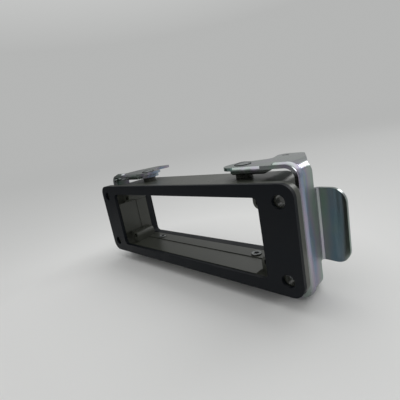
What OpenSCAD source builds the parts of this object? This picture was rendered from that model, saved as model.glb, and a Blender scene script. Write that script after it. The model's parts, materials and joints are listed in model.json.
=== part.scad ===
// Panel-mount housing of a rectangular heavy-duty connector with two locking levers.
// X runs along the housing, Y points from the panel to the mating side, Z across it.
// The origin is the centre of the four panel holes, on the flange's gasket seat.

/* [Panel flange] */
// Distance of the panel holes from the cavity's ends
hole_out_x = 9.5; // [8.5:0.25:11]
// How far the panel holes stand inside the cavity's long sides
hole_in_z = 1.1; // [0.2:0.1:1.6]
// Diameter of the panel holes in the flange
hole_d = 4.5; // [3.5:0.1:5]
// Flange edge beyond the holes, at the ends
flange_margin_x = 6.4; // [5:0.1:9]
// Flange edge beyond the holes, at the long sides
flange_margin_z = 6.8; // [6.2:0.1:9]
// Thickness of the cast flange
flange_t = 3; // [2:0.1:3.6]
// Corner radius of the flange and its gasket
flange_r = 5.5; // [2:0.5:6]

/* [Flange gasket] */
// Thickness of the flange gasket
gasket_t = 2; // [1:0.1:3]
// Extra diameter of the gasket's holes over the flange's holes
gasket_hole_extra = 1; // [0.2:0.1:1.6]
// How far the gasket's opening stands back from the cavity wall
gasket_back = 0.3; // [0:0.1:1]

/* [Cast body] */
// Length of the cavity
cavity_l = 111; // [105:0.5:120]
// Width of the cavity
cavity_w = 34.2; // [33.5:0.1:35]
// Corner radius of the cavity
cavity_r = 2.5; // [1:0.25:4]
// Wall thickness at the long sides
side_wall = 5.3; // [4.6:0.1:5.6]
// Wall thickness at the ends
end_wall = 4.5; // [3.8:0.1:5.5]
// Outer corner radius of the body
body_r = 6; // [3:0.5:8]
// Height of the metal rim above the gasket seat
rim_y = 25.5; // [24:0.25:28]
// Depth at which the cavity narrows to its mating part
ledge_y = 13; // [10:0.5:15]
// How far the cavity narrows there, on each side
ledge_w = 0.4; // [0.2:0.1:0.6]

/* [Insert posts] */
// Distance of the insert screws from the cavity's ends
insert_in_x = 3.5; // [3.2:0.1:4.5]
// Distance of the insert screws from the cavity's long sides
insert_in_z = 3.6; // [3.2:0.1:4]
// Depth of the posts' faces below the gasket seat
post_y = 4.7; // [3:0.1:7]
// Length of the posts
post_l = 13.5; // [8:0.5:14]
// Radius of a post's inner corner, round its screw hole
post_r = 3; // [2.5:0.1:4]
// Core diameter of the insert screw holes
post_hole_d = 3.3; // [2.5:0.1:3.5]
// Depth of the insert screw holes
post_hole_depth = 10; // [5:0.5:12]
// Diameter of the round relief in front of each post
relief_d = 10; // [8:0.25:11]

/* [Rim seal] */
// Width of the seal in its groove
seal_w = 2.6; // [1.8:0.1:3]
// Depth of the groove below the metal rim
groove_depth = 4.5; // [3:0.25:5]
// How far the seal stands proud of the metal rim
seal_proud = 0.5; // [0.2:0.1:1]
// Gap between the seal and the outer wall of its groove
seal_gap = 0.1; // [0.05:0.05:0.3]

/* [Lever pivots] */
// Distance of the lever pivots from the cavity's ends
pivot_in_x = 17.5; // [16.5:0.25:19]
// Height of the lever pivots above the gasket seat
pivot_y = 16.2; // [15.5:0.1:17.5]
// Diameter of the cast pivot bosses
boss_d = 8; // [7:0.25:10]
// Height of the cast pivot bosses above the wall
boss_h = 2.15; // [1.6:0.05:3]
// Diameter of the rivet shank
shank_d = 4; // [3:0.1:4.5]
// Radial clearance of the shank in the lever and in the wall
shank_gap = 0.05; // [0.02:0.01:0.09]
// Diameter of the rivet head
head_d = 8.4; // [7.5:0.1:9.5]
// Height of the rivet head
head_h = 0.9; // [0.7:0.1:1.4]
// Diameter of the rolled rivet tail
tail_d = 5.2; // [5:0.1:6]
// Thickness of the rolled rivet tail
tail_h = 0.7; // [0.5:0.05:0.9]
// Diameter of the blind hole in the rivet tail
tail_hole_d = 2.4; // [1.5:0.1:2.6]
// Depth of the blind hole in the rivet tail
tail_hole_depth = 3; // [1:0.25:4]
// Side play of a lever arm on its rivet, at each face
arm_play = 0.15; // [0.1:0.05:0.3]

/* [Lever sheet] */
// Thickness of the lever sheet
sheet_t = 1.5; // [1.2:0.05:1.7]
// Gap between the arm and its folded inner leaf
leaf_gap = 0.5; // [0.3:0.05:0.8]
// Distance of the arm's front edge from the pivot
end_r = 9.3; // [8.8:0.1:10]
// Distance of the arm's back edge from the pivot, at its round end
end_top = 7.6; // [7:0.1:8.6]
// Gap between the body's end and the lever's plate
plate_gap = 7.8; // [7.4:0.1:8.6]
// Outer radius of the bends between arms and plate
bend_r = 5.5; // [4:0.25:7]
// Height of the plate's back edge above the pivot
plate_back = 2.5; // [1.5:0.1:3]
// Slope of the edge that runs from the plate up to the nose
nose_slope = 1.9; // [1.8:0.02:2]
// Distance of the throat from the pivot, along the housing
throat_x = 9; // [8:0.25:10]
// Height of the throat above the pivot
throat_y = 11; // [10.4:0.1:12]
// Radius of the throat
throat_r = 3; // [1:0.25:4]
// Lean of the nose towards the middle, for each unit of height
nose_lean = 0.3; // [0.2:0.02:0.36]
// Height of the nose above the pivot
nose_h = 26.5; // [25:0.25:28]
// Fall of the nose's far edge, for each unit of length
nose_fall = 0.2; // [0.14:0.02:0.26]
// Radius of the nose tip
nose_tip_r = 3.5; // [2.5:0.1:4]
// Radius of the nose's outer corner
nose_corner_r = 4.5; // [2:0.25:5]
// Length of the small slot in the nose
slot_l = 4; // [3:0.25:5]
// Width of the small slot in the nose
slot_w = 1.7; // [1:0.1:2.2]
// Distance of the slot from the pivot, along the housing
slot_x = 11.5; // [10.5:0.25:13]
// Height of the slot above the pivot
slot_y = 18.5; // [17:0.25:19.5]

/* [Lever inner leaf] */
// Length of the leaf beyond the pivot
leaf_l = 15; // [12:0.25:17]
// Width of the leaf at its free end
leaf_w = 9; // [6:0.25:11]
// Radius of the leaf round the pivot
leaf_r = 6.2; // [5.5:0.1:7]

/* [Lever bead] */
// Radius of the stiffening bead's section
bead_r = 2.2; // [2:0.05:2.4]
// Height of the bead above the sheet
bead_h = 0.8; // [0.5:0.05:1]
// Distance of the bead from the plate's front edge
bead_from_front = 2.7; // [2.4:0.1:4]
// Length of the bead on each arm, before the bend
bead_arm_l = 5; // [3:0.25:7]

/* [Lever handle tab] */
// Half the width of the handle tab
tab_half_w = 15.7; // [12:0.1:17]
// Length of the tab beyond its bend
tab_l = 10.4; // [9:0.1:12]
// Height of the tab's tongue above the plate's back edge
tongue_h = 0.8; // [0.5:0.1:2]
// Inner radius of the tab's bend
tab_bend_r = 1.2; // [0.8:0.1:2.4]
// Angle through which the tab is bent outwards
tab_angle = 97; // [85:1:99]
// Corner radius of the tab
tab_r = 6; // [3:0.25:7]
// Radius of the fillets at the tongue's root
tongue_fillet = 0.6; // [0.3:0.1:1.6]

/* [Hidden] */
$fn = 96;
// How far a cut runs past the face that it opens
past = 1;
// How far a corner's arc stands past its two edges, so that they always meet
blend = 0.002;
// Least straight length of the tongue between its fillets and its bend
land = 0.2;
hole_pitch_x = cavity_l + 2 * hole_out_x;
hole_pitch_z = cavity_w - 2 * hole_in_z;
insert_pitch_x = cavity_l - 2 * insert_in_x;
insert_pitch_z = cavity_w - 2 * insert_in_z;
pivot_x = cavity_l / 2 - pivot_in_x;
lever_reach = pivot_in_x + end_wall + plate_gap + sheet_t;
flange_l = hole_pitch_x + 2 * flange_margin_x;
flange_w = hole_pitch_z + 2 * flange_margin_z;
body_l = cavity_l + 2 * end_wall;
body_w = cavity_w + 2 * side_wall;
mating_l = cavity_l - 2 * ledge_w;
mating_w = cavity_w - 2 * ledge_w;
groove_l = mating_l + 2 * (seal_w + seal_gap);
groove_w = mating_w + 2 * (seal_w + seal_gap);
groove_r = cavity_r + seal_w + seal_gap;
leaf_z = body_w / 2 + boss_h + arm_play;
arm_z = leaf_z + 2 * sheet_t + leaf_gap;
hem_r = sheet_t + leaf_gap / 2;
head_z = arm_z + arm_play;
bore_d = shank_d + 2 * shank_gap;
bend_x = lever_reach - bend_r;
bend_z = arm_z - bend_r;
bead_y = -end_r + bead_from_front;
bead_axis = bead_r - bead_h;
tab_centre = [lever_reach + tab_bend_r, plate_back + tongue_h];
tab_turn = 180 - tab_angle;

function unit(v) = v / norm(v);
function turn(a, b, c) = (b.x - a.x) * (c.y - b.y) - (b.y - a.y) * (c.x - b.x);
function half_angle(u, v) = acos(u * v) / 2;

// What lies between the chord and the arc of a rounded corner.
module corner_arc(tip, start, end, centre, r) {
    intersection() {
        translate(centre) circle(r + blend);
        polygon([start, tip, end]);
    }
}

// Polygon of counterclockwise points whose corners are rounded by true arcs.
module rounded(points, radii) {
    n = len(points);
    to_last = [for (i = [0:n - 1]) unit(points[(i + n - 1) % n] - points[i])];
    to_next = [for (i = [0:n - 1]) unit(points[(i + 1) % n] - points[i])];
    half = [for (i = [0:n - 1]) half_angle(to_last[i], to_next[i])];
    cut = [for (i = [0:n - 1]) radii[i] / tan(half[i])];
    centre = [for (i = [0:n - 1])
        points[i] + unit(to_last[i] + to_next[i]) * radii[i] / sin(half[i])];
    left = [for (i = [0:n - 1])
        turn(points[(i + n - 1) % n], points[i], points[(i + 1) % n]) > 0];
    start = [for (i = [0:n - 1]) points[i] + to_last[i] * cut[i]];
    end = [for (i = [0:n - 1]) points[i] + to_next[i] * cut[i]];
    difference() {
        union() {
            polygon([for (i = [0:n - 1]) each radii[i] > 0 ? [start[i], end[i]] : [points[i]]]);
            for (i = [0:n - 1]) if (radii[i] > 0 && left[i])
                corner_arc(points[i], start[i], end[i], centre[i], radii[i]);
        }
        for (i = [0:n - 1]) if (radii[i] > 0 && !left[i])
            corner_arc(points[i], start[i], end[i], centre[i], radii[i]);
    }
}

module rounded_rect(l, w, r) {
    rounded([[-l / 2, -w / 2], [l / 2, -w / 2], [l / 2, w / 2], [-l / 2, w / 2]], [r, r, r, r]);
}

// Extrudes an outline drawn in X and Z from height y0 to height y1.
module slab(y0, y1) {
    translate([0, y1, 0]) rotate([90, 0, 0]) linear_extrude(y1 - y0) children();
}

// Places children at the four corners of a rectangle in X and Z.
module at_corners(pitch_x, pitch_z) {
    for (sx = [-1, 1], sz = [-1, 1])
        translate([sx * pitch_x / 2, 0, sz * pitch_z / 2]) children();
}

module bore_y(d, y0, y1) {
    translate([0, y0, 0]) rotate([-90, 0, 0]) cylinder(d = d, h = y1 - y0);
}

// One corner post, its inner corner rounded round the screw hole.
module post_outline(sx, sz) {
    reach_x = body_l / 2 - insert_pitch_x / 2 - end_wall / 2;
    reach_z = body_w / 2 - insert_pitch_z / 2 - side_wall / 2;
    scale([sx, sz]) translate([insert_pitch_x / 2, insert_pitch_z / 2]) {
        circle(post_r);
        translate([0, -post_r]) square([reach_x, post_r + reach_z]);
        translate([-post_r, 0]) square([post_r + reach_x, reach_z]);
    }
}

module housing() color([0.16, 0.17, 0.17]) difference() {
    union() {
        difference() {
            union() {
                slab(0, flange_t) rounded_rect(flange_l, flange_w, flange_r);
                slab(0, rim_y) rounded_rect(body_l, body_w, body_r);
            }
            slab(-past, ledge_y) rounded_rect(cavity_l, cavity_w, cavity_r);
            slab(-past, rim_y + past) rounded_rect(mating_l, mating_w, cavity_r);
            at_corners(insert_pitch_x, insert_pitch_z) bore_y(relief_d, -past, post_y);
        }
        for (sx = [-1, 1], sz = [-1, 1]) slab(post_y, post_y + post_l) post_outline(sx, sz);
        for (sx = [-1, 1], sz = [-1, 1]) translate([sx * pivot_x, pivot_y, 0])
            mirror([0, 0, sz < 0 ? 1 : 0]) translate([0, 0, body_w / 2 - side_wall / 2])
                cylinder(d = boss_d, h = side_wall / 2 + boss_h);
    }
    slab(rim_y - groove_depth, rim_y + past) rounded_rect(groove_l, groove_w, groove_r);
    at_corners(hole_pitch_x, hole_pitch_z) bore_y(hole_d, -past, flange_t + past);
    at_corners(insert_pitch_x, insert_pitch_z)
        bore_y(post_hole_d, post_y - past, post_y + post_hole_depth);
    for (sx = [-1, 1]) translate([sx * pivot_x, pivot_y, -body_w / 2 - boss_h - past])
        cylinder(d = bore_d, h = body_w + 2 * boss_h + 2 * past);
}

module flange_gasket() color([0.09, 0.1, 0.11]) difference() {
    slab(-gasket_t, 0) rounded_rect(flange_l, flange_w, flange_r);
    slab(-gasket_t - past, past)
        rounded_rect(cavity_l + 2 * gasket_back, cavity_w + 2 * gasket_back, cavity_r);
    at_corners(hole_pitch_x, hole_pitch_z)
        bore_y(hole_d + gasket_hole_extra, -gasket_t - past, past);
}

module rim_seal() color([0.08, 0.09, 0.1]) difference() {
    slab(rim_y - groove_depth, rim_y + seal_proud)
        rounded_rect(mating_l + 2 * seal_w, mating_w + 2 * seal_w, cavity_r + seal_w);
    slab(rim_y - groove_depth - past, rim_y + seal_proud + past)
        rounded_rect(mating_l, mating_w, cavity_r);
}

// Section of the lever sheet with its pressed bead: first the height over the outer face,
// then the place along Y.
module sheet_section(y0, y1) {
    difference() {
        union() {
            translate([-sheet_t, y0]) square([sheet_t, y1 - y0]);
            intersection() {
                translate([-bead_axis, bead_y]) circle(bead_r);
                translate([-sheet_t / 2, bead_y - bead_r]) square([sheet_t + bead_r, 2 * bead_r]);
            }
        }
        translate([-bead_axis, bead_y]) circle(bead_r - sheet_t);
    }
}

function slope_y(x) = plate_back + (lever_reach - sheet_t - x) * nose_slope;
function nose_corner_x() = (plate_back + (lever_reach - sheet_t) * nose_slope - nose_h)
    / (nose_slope - nose_fall);
function nose_point_y() = (nose_h - nose_fall * (throat_x + nose_lean * throat_y))
    / (1 - nose_fall * nose_lean);

// Half disc on the side of the pivot that points to the middle of the housing.
module round_end(r, y) {
    translate([0, y]) intersection() {
        circle(r);
        translate([-r, -r]) square([r, 2 * r]);
    }
}

// Outline of an arm round its pivot, with the nose that catches the hood's peg.
module arm_outline() {
    corner_x = nose_corner_x();
    point_y = nose_point_y();
    round_end((end_top + end_r) / 2, (end_top - end_r) / 2);
    rounded([[0, -end_r + hem_r], [leaf_l, -end_r + hem_r], [leaf_l, -end_r], [bend_x, -end_r],
             [bend_x, slope_y(bend_x)], [corner_x, slope_y(corner_x)],
             [throat_x - nose_lean * (point_y - throat_y), point_y],
             [throat_x, throat_y], [0, end_top]],
            [0, 0, 0, 0, 0, nose_corner_r, nose_tip_r, throat_r, 0]);
}

module slot_outline() {
    for (s = [-1, 1]) translate([slot_x + s * (slot_l - slot_w) / 2, slot_y]) circle(d = slot_w);
    translate([slot_x - (slot_l - slot_w) / 2, slot_y - slot_w / 2])
        square([slot_l - slot_w, slot_w]);
}

// Bead on the arm, from its round end to the start of the bend.
module arm_bead(r) {
    translate([bend_x - bead_arm_l, bead_y, arm_z - bead_axis]) {
        sphere(r);
        rotate([0, 90, 0]) cylinder(r = r, h = bead_arm_l);
    }
}

module arm() {
    difference() {
        union() {
            translate([0, 0, arm_z - sheet_t]) linear_extrude(sheet_t) difference() {
                arm_outline();
                slot_outline();
            }
            intersection() {
                arm_bead(bead_r);
                translate([0, bead_y - bead_r, arm_z - sheet_t / 2])
                    cube([bend_x, 2 * bead_r, sheet_t + bead_r]);
            }
        }
        arm_bead(bead_r - sheet_t);
    }
}

// Inner leaf, joined to the arm by the rolled hem along the front edge.
module leaf() {
    fold_y = -end_r + hem_r;
    translate([0, 0, leaf_z]) linear_extrude(sheet_t) {
        round_end(leaf_r, 0);
        rounded([[0, fold_y], [leaf_l, fold_y], [leaf_l, fold_y + leaf_w], [0, leaf_r]],
                [0, 0, leaf_w / 2, 0]);
    }
    translate([0, fold_y, leaf_z + hem_r]) rotate([90, 0, 90]) linear_extrude(leaf_l) difference() {
        circle(hem_r);
        circle(leaf_gap / 2);
        translate([0, -hem_r]) square([hem_r, 2 * hem_r]);
    }
}

// Bend from the upper arm into the plate, cut back along the nose's sloping edge.
module upper_bend() {
    intersection() {
        translate([bend_x, 0, bend_z]) mirror([0, 0, 1]) rotate([-90, 0, 0])
            rotate_extrude(angle = 90) translate([bend_r, 0])
                sheet_section(-end_r, slope_y(bend_x));
        translate([0, 0, bend_z]) linear_extrude(bend_r + bead_h)
            polygon([[bend_x, -end_r], [lever_reach + bead_h, -end_r],
                     [lever_reach + bead_h, plate_back], [lever_reach - sheet_t, plate_back],
                     [bend_x, slope_y(bend_x)]]);
    }
}

module plate() {
    translate([lever_reach, 0, -bend_z]) linear_extrude(2 * bend_z)
        sheet_section(-end_r, plate_back);
}

// Section of the handle tab: its tongue behind the plate, its bend and its flat.
module tab_section() {
    along = [sin(tab_angle), cos(tab_angle)];
    out = [cos(tab_turn), sin(tab_turn)];
    rise = (1 + out.x) / out.y;
    inner = [lever_reach, tab_centre.y + tab_bend_r * rise];
    outer = [lever_reach - sheet_t, tab_centre.y + (tab_bend_r + sheet_t) * rise];
    far = inner + along * (tab_bend_r * rise + tab_l + past);
    rounded([[lever_reach - sheet_t, plate_back], [lever_reach, plate_back], inner, far,
             far + out * sheet_t, outer],
            [0, 0, tab_bend_r, 0, 0, tab_bend_r + sheet_t]);
}

// Handle tab, bent outwards behind the plate, with the fillets at its root.
module handle_tab() {
    fillet = min(tongue_fillet, tongue_h - land);
    root = tab_half_w + fillet + sheet_t;
    top = plate_back + fillet;
    translate([lever_reach - sheet_t, 0, 0]) rotate([90, 0, 90]) linear_extrude(sheet_t)
        rounded([[plate_back - sheet_t, -root], [plate_back, -root], [plate_back, -tab_half_w],
                 [top, -tab_half_w], [top, tab_half_w],
                 [plate_back, tab_half_w], [plate_back, root], [plate_back - sheet_t, root]],
                [0, 0, fillet, 0, 0, fillet, 0, 0]);
    intersection() {
        translate([0, 0, -tab_half_w]) linear_extrude(2 * tab_half_w) tab_section();
        slab(0, tab_centre.y + lever_reach) tab_outline();
    }
}

// Front view of the tab, its two outer corners rounded.
module tab_outline() {
    tip_x = tab_centre.x + tab_bend_r * cos(tab_turn) + tab_l * sin(tab_turn);
    rounded([[bend_x, -tab_half_w], [tip_x, -tab_half_w], [tip_x, tab_half_w], [bend_x, tab_half_w]],
            [0, tab_r, tab_r, 0]);
}

module lever() color([0.62, 0.64, 0.63]) difference() {
    union() {
        for (s = [0, 1]) mirror([0, 0, s]) {
            arm();
            leaf();
            upper_bend();
        }
        plate();
        handle_tab();
    }
    translate([0, 0, -arm_z - past]) cylinder(d = bore_d, h = 2 * arm_z + 2 * past);
}

module lever_right() translate([pivot_x, pivot_y, 0]) lever();
module lever_left() mirror([1, 0, 0]) lever_right();

// Semi-tubular rivet with a domed head outside and a rolled tail inside the wall.
module pivot_rivet() color([0.55, 0.56, 0.55]) {
    inner_z = cavity_w / 2 - ledge_w;
    tail_z = inner_z - tail_h;
    dome_r = (head_d * head_d / 4 + head_h * head_h) / (2 * head_h);
    difference() {
        union() {
            translate([0, 0, tail_z]) cylinder(d = shank_d, h = head_z - tail_z);
            translate([0, 0, tail_z]) cylinder(d = tail_d, h = tail_h);
            intersection() {
                translate([0, 0, head_z]) cylinder(d = head_d, h = head_h);
                translate([0, 0, head_z + head_h - dome_r]) sphere(dome_r);
            }
        }
        translate([0, 0, tail_z - past]) cylinder(d = tail_hole_d, h = tail_hole_depth + past);
    }
}

// Places a rivet at one of the four lever arms.
module at_pivot(sx, sz) {
    translate([sx * pivot_x, pivot_y, 0]) mirror([0, 0, sz < 0 ? 1 : 0]) children();
}

module pivot_rivet_left_upper() at_pivot(-1, 1) pivot_rivet();
module pivot_rivet_left_lower() at_pivot(-1, -1) pivot_rivet();
module pivot_rivet_right_upper() at_pivot(1, 1) pivot_rivet();
module pivot_rivet_right_lower() at_pivot(1, -1) pivot_rivet();

housing();
flange_gasket();
rim_seal();
lever_left();
lever_right();
pivot_rivet_left_upper();
pivot_rivet_left_lower();
pivot_rivet_right_upper();
pivot_rivet_right_lower();
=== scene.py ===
import json
import math
from collections import namedtuple
import bmesh
import bpy
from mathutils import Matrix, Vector

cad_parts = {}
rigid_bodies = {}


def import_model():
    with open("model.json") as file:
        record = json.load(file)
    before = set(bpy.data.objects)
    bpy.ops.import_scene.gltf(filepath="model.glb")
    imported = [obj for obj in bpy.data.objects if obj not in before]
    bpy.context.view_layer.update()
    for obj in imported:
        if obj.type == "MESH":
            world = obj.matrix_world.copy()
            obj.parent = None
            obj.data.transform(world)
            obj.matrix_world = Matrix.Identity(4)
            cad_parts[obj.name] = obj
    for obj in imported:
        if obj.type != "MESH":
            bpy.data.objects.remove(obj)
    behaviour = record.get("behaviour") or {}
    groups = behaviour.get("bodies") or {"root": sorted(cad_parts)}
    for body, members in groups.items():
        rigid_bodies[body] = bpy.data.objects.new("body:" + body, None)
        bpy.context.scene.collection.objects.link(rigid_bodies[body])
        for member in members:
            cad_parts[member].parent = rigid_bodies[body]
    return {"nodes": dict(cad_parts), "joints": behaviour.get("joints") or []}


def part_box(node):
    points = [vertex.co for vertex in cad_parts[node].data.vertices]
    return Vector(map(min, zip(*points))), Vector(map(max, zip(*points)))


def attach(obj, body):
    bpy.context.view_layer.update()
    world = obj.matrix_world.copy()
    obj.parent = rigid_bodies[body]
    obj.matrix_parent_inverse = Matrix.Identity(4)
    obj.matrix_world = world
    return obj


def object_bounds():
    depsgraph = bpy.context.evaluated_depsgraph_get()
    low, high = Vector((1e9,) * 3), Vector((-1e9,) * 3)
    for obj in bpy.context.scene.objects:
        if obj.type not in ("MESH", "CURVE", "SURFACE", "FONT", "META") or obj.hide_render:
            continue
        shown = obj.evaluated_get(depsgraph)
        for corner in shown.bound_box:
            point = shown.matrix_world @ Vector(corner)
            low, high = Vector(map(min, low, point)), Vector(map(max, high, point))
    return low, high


# Blender's start-up objects go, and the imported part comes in
for old in list(bpy.data.objects):
    bpy.data.objects.remove(old)
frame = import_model()
cad_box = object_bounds()
nodes = frame["nodes"]

bpy.context.scene.view_settings.view_transform = "Standard"

# Directions in the part's frame
ALONG = (1, 0, 0)
UP = (0, 0, 1)

# Camera, at the photograph's place: metres, degrees, and millimetres for lens and sensor
CAMERA_PLACE = (0.12099, -0.09245, 0.04453)
CAMERA_TURN = (77.55, 10.48, 44.53)
CAMERA_LENS = 26.38
CAMERA_SENSOR = 36.0
CAMERA_NEAREST = 0.004

# Pale background, whose mirror image is much dimmer in front of the object than behind it
BACKDROP = (0.46, 0.465, 0.46, 1)
BEHIND = (0.6, 0.8, 0.0)
BEHIND_SPAN = (-0.45, 0.35)
FRONT_DIM = 0.14

# Soft lit ceiling: the strength it adds, and the span of upward slope over which it sets in
CEILING = 0.9
CEILING_SPAN = (0.30, 0.85)

# Floor, in metres: its own colour near the object, the background's far away
FLOOR = (0.82, 0.825, 0.815, 1)
FLOOR_SIZE = 40.0
FLOOR_NEAR = 0.11

# Light of the room on matt surfaces
ROOM = 0.46
ROOM_COLOUR = (1, 1, 1, 1)

# Area lamps, in metres and watts
Lamp = namedtuple("Lamp", "place target size power")
LAMPS = {
    "over": Lamp(place=(0.0, 0.20, 0.8), target=(0, 0.08, 0), size=(1.5, 1.4), power=4.4),
    "back": Lamp(place=(0.22, 0.75, 0.40), target=(0, 0.08, -0.02), size=(0.32, 0.18), power=0.7),
}

# Layer of fine bumps: scale in cells per metre, depth in metres
Grain = namedtuple("Grain", "scale detail strength depth")

# Stretch of a cloud's values over which colour and roughness change
CLOUD_SPAN = (0.3, 0.7)

# Passivated zinc: tints along the drift's values, and the sheet's colour at a grazing angle
NEUTRAL = 0.48
ZINC_TINTS = (
    (0.30, (0.28, 0.41, 0.40, 1)),
    (0.40, (0.36, 0.43, 0.39, 1)),
    (NEUTRAL, (0.39, 0.41, 0.42, 1)),
    (0.55, (0.39, 0.35, 0.44, 1)),
    (0.62, (0.29, 0.36, 0.47, 1)),
    (0.70, (0.37, 0.43, 0.37, 1)),
)
ZINC_GRAZING = (0.82, 0.84, 0.83, 1)

# Zinc's bands, clouds and streaks: scales in cells per metre, depths in metres
BAND_SCALE = 130.0
BAND_STRETCH = (1.0, 1.0, 0.10)
BAND_DISTORTION = 0.3
BAND_SHARE = 0.75
WAVE_STRENGTH = 1.0
WAVE_DEPTH = 0.0008
ZINC_CLOUD_SCALE = 70.0
ZINC_CLOUD_STRENGTH = 0.05
ZINC_CLOUD_DEPTH = 0.0006
STREAK_SCALE = 700.0
STREAK_STRETCH = (1.0, 1.0, 0.05)
STREAK_SPAN = (0.25, 0.75)
STREAK_ROUGHNESS = (0.14, 0.20)

# Zinc by the way a face looks: share of the tint left on the arms, roughness added on the plates
ARM_TINT = 0.35
PLATE_FACING = (0.9, 1.0)
PLATE_DULLNESS = 0.4

# Edge rounding in metres for each node
EDGE = {
    "housing": 0.0005,
    "flange_gasket": 0.0005,
    "rim_seal": 0.0003,
    "lever_left": 0.0005,
    "lever_right": 0.0005,
}
RIVET_EDGE = 0.00025
EDGE_SEGMENTS = 3
EDGE_ANGLE = math.radians(35)
FLAT_ANGLE = math.radians(0.5)
WELD_GAP = 1e-6

# Sizes of a lever in metres, as in the part's source: HEM_END and FRONT_EDGE count from its pivot
SHEET = 0.0015
HEM_GAP = 0.0005
HEM_END = 0.015
FRONT_EDGE = 0.0093
BEAD_HEIGHT = 0.0008

# Run-out of a hem: its length in metres, the share of the fold left at its tip, and its steps
RUNOUT = 0.009
RUNOUT_LAST = 0.1
RUNOUT_STEPS = 24
FOLD_STEPS = 16

# A run-out begins inside the hem and stands a hair proud, so that no two faces coincide
OVERLAP = 0.0008
PROUD = 0.00002


class Tree:
    """A material's or world's node tree, with short calls for adding and joining nodes."""

    def __init__(self, tree):
        self.tree = tree
        tree.nodes.clear()

    def add(self, kind, **inputs):
        node = self.tree.nodes.new("ShaderNode" + kind)
        for name, value in inputs.items():
            self.put(node.inputs[name.replace("_", " ")], value)
        return node

    def put(self, socket, value):
        if isinstance(value, bpy.types.NodeSocket):
            self.tree.links.new(value, socket)
        else:
            socket.default_value = value

    def fill(self, node, *values):
        for socket, value in zip(node.inputs, values):
            self.put(socket, value)

    def math(self, operation, *values, clamp=False):
        node = self.add("Math")
        node.operation = operation
        node.use_clamp = clamp
        self.fill(node, *values)
        return node.outputs[0]

    def vector(self, operation, *values):
        node = self.add("VectorMath")
        node.operation = operation
        self.fill(node, *values)
        return node.outputs["Vector" if operation == "NORMALIZE" else "Value"]

    def mix(self, factor, first, second):
        node = self.add("MixShader")
        self.fill(node, factor, first, second)
        return node.outputs[0]

    def span(self, value, before, after):
        node = self.add("MapRange")
        self.fill(node, value, *before, *after)
        return node.outputs[0]

    def ramp(self, factor, stops):
        node = self.add("ValToRGB")
        self.fill(node, factor)
        elements = node.color_ramp.elements
        while len(elements) < len(stops):
            elements.new(0.5)
        for element, (place, colour) in zip(elements, stops):
            element.position = place
            element.color = colour
        return node.outputs[0]

    def scaled(self, source, scale):
        return self.add("Mapping", Vector=source, Scale=scale).outputs[0]

    def noise(self, place, scale, detail=3.0, distortion=0.0):
        node = self.add("TexNoise", Vector=place, Scale=scale, Detail=detail, Distortion=distortion)
        return node.outputs[0]

    def bump(self, height, strength, depth, below=None):
        node = self.add("Bump", Height=height, Strength=strength, Distance=depth)
        if below is not None:
            self.put(node.inputs["Normal"], below)
        return node.outputs[0]

    def path(self, kind):
        return self.add("LightPath").outputs[kind]


def shown(tree):
    """One for rays from the camera, a mirror or glass, and zero for the rest."""
    mirrored = tree.math("MAXIMUM", tree.path("Is Glossy Ray"), tree.path("Is Transmission Ray"))
    return tree.math("MAXIMUM", tree.path("Is Camera Ray"), mirrored)


def backdrop(tree, toward):
    """Strength of the background in a direction: even for the camera, dimmer in front if mirrored."""
    dimmed = tree.span(tree.vector("DOT_PRODUCT", toward, BEHIND), BEHIND_SPAN, (FRONT_DIM, 1.0))
    return tree.math("MAXIMUM", dimmed, tree.path("Is Camera Ray"))


def material(name):
    made = bpy.data.materials.new(name)
    made.use_nodes = True
    return made, Tree(made.node_tree)


def clouded_material(name, cloud_scale, colours, roughness, grains, **finish):
    """A material whose colour and roughness drift with a soft cloud, under layers of fine bumps."""
    made, t = material(name)
    place = t.add("TexCoord").outputs["Object"]
    cloud = t.noise(place, cloud_scale)
    colour = t.ramp(cloud, list(zip(CLOUD_SPAN, colours)))
    bumps = None
    for grain in grains:
        height = t.noise(place, grain.scale, grain.detail)
        bumps = t.bump(height, grain.strength, grain.depth, bumps)
    shader = t.add("BsdfPrincipled", Base_Color=colour, Normal=bumps, **finish)
    t.put(shader.inputs["Roughness"], t.span(cloud, CLOUD_SPAN, roughness))
    t.add("OutputMaterial", Surface=shader.outputs[0])
    return made


# Black powder coat with a fine orange peel
def casting_material():
    return clouded_material(
        "black_powder_coat",
        cloud_scale=60.0,
        colours=((0.038, 0.041, 0.033, 1), (0.053, 0.057, 0.046, 1)),
        roughness=(0.27, 0.35),
        grains=(
            Grain(scale=1700.0, detail=2.0, strength=0.16, depth=0.0002),
            Grain(scale=5200.0, detail=1.0, strength=0.10, depth=0.00008),
        ),
        Specular_IOR_Level=0.5,
    )


# Black rubber, smooth from its mould
def rubber_material():
    return clouded_material(
        "black_rubber",
        cloud_scale=90.0,
        colours=((0.0024, 0.0042, 0.0068, 1), (0.0036, 0.0058, 0.0090, 1)),
        roughness=(0.5, 0.6),
        grains=[Grain(scale=3600.0, detail=1.0, strength=0.06, depth=0.00008)],
        Specular_IOR_Level=0.22,
    )


# Duller plated steel of the rivets, whose bumps follow its cloud
def rivet_material():
    cloud_scale = 320.0
    return clouded_material(
        "plated_rivet",
        cloud_scale=cloud_scale,
        colours=((0.20, 0.21, 0.21, 1), (0.29, 0.30, 0.30, 1)),
        roughness=(0.34, 0.44),
        grains=[Grain(scale=cloud_scale, detail=3.0, strength=0.08, depth=0.0002)],
        Metallic=1.0,
        Specular_Tint=(0.40, 0.41, 0.41, 1),
    )


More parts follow.
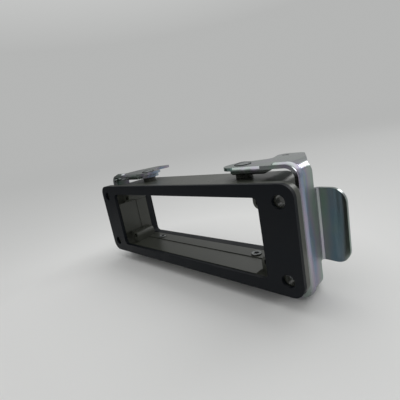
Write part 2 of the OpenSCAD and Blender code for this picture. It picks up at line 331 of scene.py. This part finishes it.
# Passivated zinc on sheet steel: grey with drifting green, blue and violet tints, fainter on the arms
def zinc_material():
    made, t = material("passivated_zinc_sheet")
    coordinates = t.add("TexCoord")
    place = coordinates.outputs["Object"]
    normal = coordinates.outputs["Normal"]
    upward = t.math("ABSOLUTE", t.vector("DOT_PRODUCT", normal, UP))
    upright = t.math("SUBTRACT", 1.0, upward)
    endways = t.math("ABSOLUTE", t.vector("DOT_PRODUCT", normal, ALONG))

    bands = t.noise(t.scaled(place, BAND_STRETCH), BAND_SCALE, detail=1.0, distortion=BAND_DISTORTION)
    cloud = t.noise(place, ZINC_CLOUD_SCALE)
    streak = t.noise(t.scaled(place, STREAK_STRETCH), STREAK_SCALE, detail=1.0)

    band_part = t.math("MULTIPLY", bands, BAND_SHARE)
    drift = t.math("ADD", band_part, t.math("MULTIPLY", cloud, 1.0 - BAND_SHARE))
    share = t.span(upright, (0.0, 1.0), (ARM_TINT, 1.0))
    tint = t.math("MULTIPLY", t.math("SUBTRACT", drift, NEUTRAL), share)
    colour = t.ramp(t.math("ADD", NEUTRAL, tint), ZINC_TINTS)

    dullness = t.span(endways, PLATE_FACING, (0.0, PLATE_DULLNESS))
    roughness = t.math("ADD", t.span(streak, STREAK_SPAN, STREAK_ROUGHNESS), dullness)
    clouds = t.bump(cloud, ZINC_CLOUD_STRENGTH, ZINC_CLOUD_DEPTH)
    waves = t.bump(t.math("MULTIPLY", bands, upright), WAVE_STRENGTH, WAVE_DEPTH, clouds)

    shader = t.add("BsdfPrincipled", Base_Color=colour, Roughness=roughness, Normal=waves, Metallic=1.0)
    t.put(shader.inputs["Specular Tint"], ZINC_GRAZING)
    t.add("OutputMaterial", Surface=shader.outputs[0])
    return made


# Pale floor that turns into the background far from the object and keeps the shadow near it
def floor_material():
    made, t = material("pale_floor")
    place = t.add("NewGeometry").outputs["Position"]
    near_share = t.math("DIVIDE", FLOOR_NEAR, t.vector("LENGTH", place))
    far_share = t.math("SUBTRACT", 1.0, near_share, clamp=True)
    near = t.add("BsdfDiffuse", Color=FLOOR)
    far = t.add("Emission", Color=BACKDROP, Strength=backdrop(t, t.vector("NORMALIZE", place)))
    share = t.math("MULTIPLY", far_share, shown(t))
    t.add("OutputMaterial", Surface=t.mix(share, near.outputs[0], far.outputs[0]))
    return made


def rounded_edges(piece, width):
    weld = piece.modifiers.new("weld", "WELD")
    weld.merge_threshold = WELD_GAP
    flat = piece.modifiers.new("flat faces", "DECIMATE")
    flat.decimate_type = "DISSOLVE"
    flat.angle_limit = FLAT_ANGLE
    bevel = piece.modifiers.new("edges", "BEVEL")
    bevel.limit_method = "ANGLE"
    bevel.angle_limit = EDGE_ANGLE
    bevel.width = width
    bevel.segments = EDGE_SEGMENTS
    normals = piece.modifiers.new("normals", "WEIGHTED_NORMAL")
    normals.keep_sharp = True


def add_object(name, data):
    made = bpy.data.objects.new(name, data)
    bpy.context.scene.collection.objects.link(made)
    return made


def fold_section(turn, arm_top):
    """Outline across a fold that is bent through turn, as Y from the pivot and Z from the middle."""
    inside = HEM_GAP / 2
    outside = inside + SHEET
    angles = [turn * k / FOLD_STEPS for k in range(FOLD_STEPS + 1)]
    ring = [(outside + PROUD, a) for a in angles]
    ring += [(inside - PROUD, a) for a in reversed(angles)]
    centre_y = outside - FRONT_EDGE
    centre_z = arm_top - outside
    return [(centre_y - r * math.sin(a), centre_z + r * math.cos(a)) for r, a in ring]


def runout_places():
    """Distance from the pivot and bend of the fold for each outline of a run-out."""
    places = [(HEM_END - OVERLAP, math.pi)]
    for k in range(RUNOUT_STEPS + 1):
        gone = k / RUNOUT_STEPS
        places.append((HEM_END + RUNOUT * gone, math.pi * (1 - (1 - RUNOUT_LAST) * gone)))
    return places


def swept_mesh(name, outlines):
    """A closed mesh through a row of outlines, smooth but for its sharp edges."""
    mesh = bmesh.new()
    rings = [[mesh.verts.new(point) for point in outline] for outline in outlines]
    for first, second in zip(rings, rings[1:]):
        for k in range(len(first)):
            mesh.faces.new((first[k - 1], first[k], second[k], second[k - 1]))
    mesh.faces.new(rings[0])
    mesh.faces.new(rings[-1])
    bmesh.ops.recalc_face_normals(mesh, faces=mesh.faces)
    for face in mesh.faces:
        face.smooth = True
    for edge in mesh.edges:
        edge.smooth = edge.calc_face_angle() < EDGE_ANGLE
    data = bpy.data.meshes.new(name)
    mesh.to_mesh(data)
    mesh.free()
    return data


# Run-out of a lever's hem: past the hem's end the fold opens and goes into the arm's edge
def hem_runout(name, body, pivot, side, half, arm_top):
    outlines = []
    for along, turn in runout_places():
        x = pivot[0] + side * along
        outlines.append([(x, pivot[1] + y, half * z) for y, z in fold_section(turn, arm_top)])
    piece = add_object(name, swept_mesh(name, outlines))
    piece.data.materials.append(looks["zinc_sheet"])
    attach(piece, body)


def add_lamp(name, lamp):
    data = bpy.data.lights.new(name, "AREA")
    data.shape = "RECTANGLE"
    data.size, data.size_y = lamp.size
    data.energy = lamp.power
    made = add_object(name, data)
    made.location = lamp.place
    aim = Vector(lamp.target) - Vector(lamp.place)
    made.rotation_euler = aim.to_track_quat("-Z", "Y").to_euler()


# Looks of the CAD nodes by the record's material slots, and their rounded edges
looks = {
    "casting": casting_material(),
    "rubber": rubber_material(),
    "zinc_sheet": zinc_material(),
    "rivet_steel": rivet_material(),
}
for name, piece in nodes.items():
    slot = piece.material_slots[0].material.name
    piece.material_slots[0].material = looks[slot]
    rounded_edges(piece, EDGE.get(name, RIVET_EDGE))

# Run-outs of the four hems
for joint in frame["joints"]:
    body = joint["child"]
    pivot = joint["pos_m"]
    side = math.copysign(1, pivot[0])
    lever = "lever_right" if side > 0 else "lever_left"
    arm_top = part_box(lever)[1][2] - BEAD_HEIGHT
    for end, half in (("upper", 1), ("lower", -1)):
        hem_runout(f"{lever}_hem_{end}", body, pivot, side, half, arm_top)

# Floor under the part
bpy.ops.mesh.primitive_plane_add(size=FLOOR_SIZE, location=(0, 0, cad_box[0][2]))
floor = bpy.context.object
floor.name = "floor"
floor.data.materials.append(floor_material())

# World: even room light for matt surfaces, the pale background for what is seen or mirrored
world = bpy.data.worlds.new("studio")
bpy.context.scene.world = world
world.use_nodes = True
w = Tree(world.node_tree)
toward = w.add("TexCoord").outputs["Generated"]
ceiling = w.span(w.vector("DOT_PRODUCT", toward, UP), CEILING_SPAN, (0.0, CEILING))
room = w.add("Background", Color=ROOM_COLOUR, Strength=ROOM)
seen = w.add("Background", Color=BACKDROP, Strength=w.math("ADD", backdrop(w, toward), ceiling))
w.add("OutputWorld", Surface=w.mix(shown(w), room.outputs[0], seen.outputs[0]))

# Lamps and camera
for name, lamp in LAMPS.items():
    add_lamp(name, lamp)
lens = bpy.data.cameras.new("camera")
lens.lens = CAMERA_LENS
lens.sensor_width = CAMERA_SENSOR
lens.clip_start = CAMERA_NEAREST
camera = add_object("camera", lens)
camera.location = CAMERA_PLACE
camera.rotation_euler = [math.radians(v) for v in CAMERA_TURN]
bpy.context.scene.camera = camera
